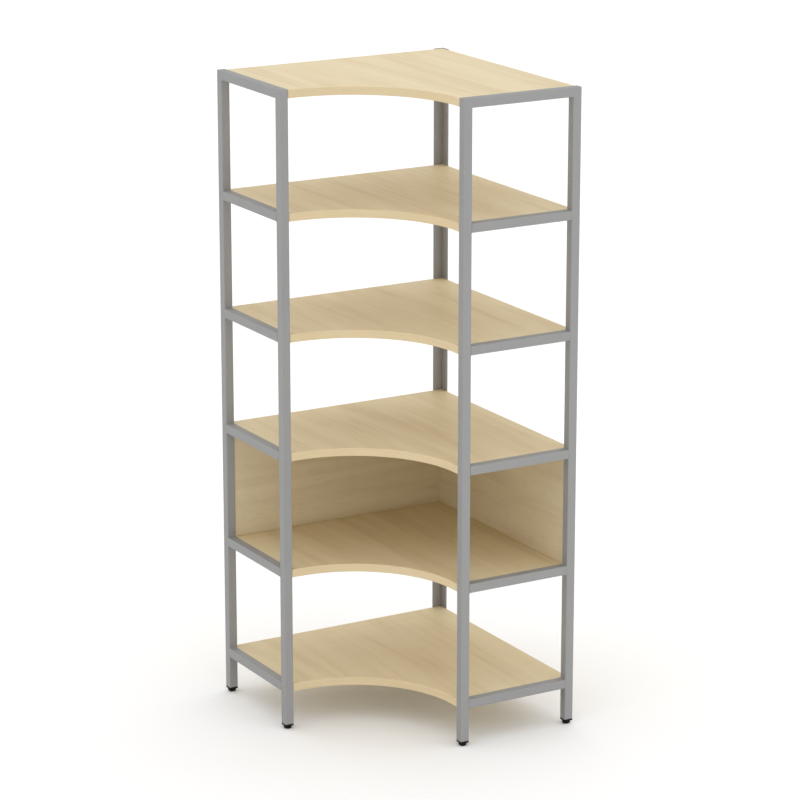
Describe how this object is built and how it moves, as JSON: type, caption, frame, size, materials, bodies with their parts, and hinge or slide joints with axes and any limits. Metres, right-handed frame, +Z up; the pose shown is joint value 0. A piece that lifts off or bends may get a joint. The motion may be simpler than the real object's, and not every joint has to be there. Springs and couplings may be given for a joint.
{
  "type": "corner shelf unit",
  "caption": "Open corner shelf unit with square-tube end frames, an angle post at the rear corner, boards with a hollow curved front, two back panels in one bay and levelling glides.",
  "frame": {"origin": "on the floor, in the middle of the unit's square plan", "axes": "+Z up; the rear corner is at +X +Y, the left wall lies along +Y's face and runs in X, the right wall lies along +X's face and runs in Y, and the curved front faces -X -Y"},
  "size_m": [0.79, 0.79, 1.979],
  "materials": {
    "powder_coat": "satin light grey powder coat with a fine orange-peel texture",
    "maple": "pale maple decor with a soft straight grain and matching edge band, matt",
    "black_plastic": "moulded black plastic, fine matt texture",
    "zinc_steel": "bright zinc plating",
    "beech": "plain beech, unfinished"
  },
  "bodies": {
    "frame": {"corner_post": "powder_coat", "left_back_panel": "maple", "left_front_insert": "black_plastic", "left_front_post": "powder_coat", "left_panel_inner_lower_dowel": "beech", "left_panel_inner_upper_dowel": "beech", "left_panel_outer_lower_dowel": "beech", "left_panel_outer_upper_dowel": "beech", "left_rail_1": "powder_coat", "left_rail_2": "powder_coat", "left_rail_3": "powder_coat", "left_rail_4": "powder_coat", "left_rail_5": "powder_coat", "left_rear_insert": "black_plastic", "left_rear_post": "powder_coat", "left_top_rail": "powder_coat", "right_back_panel": "maple", "right_front_insert": "black_plastic", "right_front_post": "powder_coat", "right_panel_inner_lower_dowel": "beech", "right_panel_inner_upper_dowel": "beech", "right_panel_outer_lower_dowel": "beech", "right_panel_outer_upper_dowel": "beech", "right_rail_1": "powder_coat", "right_rail_2": "powder_coat", "right_rail_3": "powder_coat", "right_rail_4": "powder_coat", "right_rail_5": "powder_coat", "right_rear_insert": "black_plastic", "right_rear_post": "powder_coat", "right_top_rail": "powder_coat", "shelf_1": "maple", "shelf_1_corner_screw": "zinc_steel", "shelf_1_left_screw": "zinc_steel", "shelf_1_right_screw": "zinc_steel", "shelf_2": "maple", "shelf_2_corner_screw": "zinc_steel", "shelf_2_left_screw": "zinc_steel", "shelf_2_right_screw": "zinc_steel", "shelf_3": "maple", "shelf_3_left_screw": "zinc_steel", "shelf_3_right_screw": "zinc_steel", "shelf_4": "maple", "shelf_4_corner_screw": "zinc_steel", "shelf_4_left_screw": "zinc_steel", "shelf_4_right_screw": "zinc_steel", "shelf_5": "maple", "shelf_5_corner_screw": "zinc_steel", "shelf_5_left_screw": "zinc_steel", "shelf_5_right_screw": "zinc_steel", "top_board": "maple", "top_board_corner_screw": "zinc_steel", "top_board_left_screw": "zinc_steel", "top_board_right_screw": "zinc_steel"},
    "left_rear_glide_body": {"left_rear_glide": "black_plastic"},
    "left_front_glide_body": {"left_front_glide": "black_plastic"},
    "right_front_glide_body": {"right_front_glide": "black_plastic"},
    "right_rear_glide_body": {"right_rear_glide": "black_plastic"},
    "corner_glide_body": {"corner_glide": "black_plastic"}
  },
  "joints": [
    {"name": "left_rear_glide_travel", "type": "slide", "parent": "frame", "child": "left_rear_glide_body", "axis": [0, 0, -1], "range_m": [0, 0.012]},
    {"name": "left_front_glide_travel", "type": "slide", "parent": "frame", "child": "left_front_glide_body", "axis": [0, 0, -1], "range_m": [0, 0.012]},
    {"name": "right_front_glide_travel", "type": "slide", "parent": "frame", "child": "right_front_glide_body", "axis": [0, 0, -1], "range_m": [0, 0.012]},
    {"name": "right_rear_glide_travel", "type": "slide", "parent": "frame", "child": "right_rear_glide_body", "axis": [0, 0, -1], "range_m": [0, 0.012]},
    {"name": "corner_glide_travel", "type": "slide", "parent": "frame", "child": "corner_glide_body", "axis": [0, 0, -1], "range_m": [0, 0.012]}
  ]
}
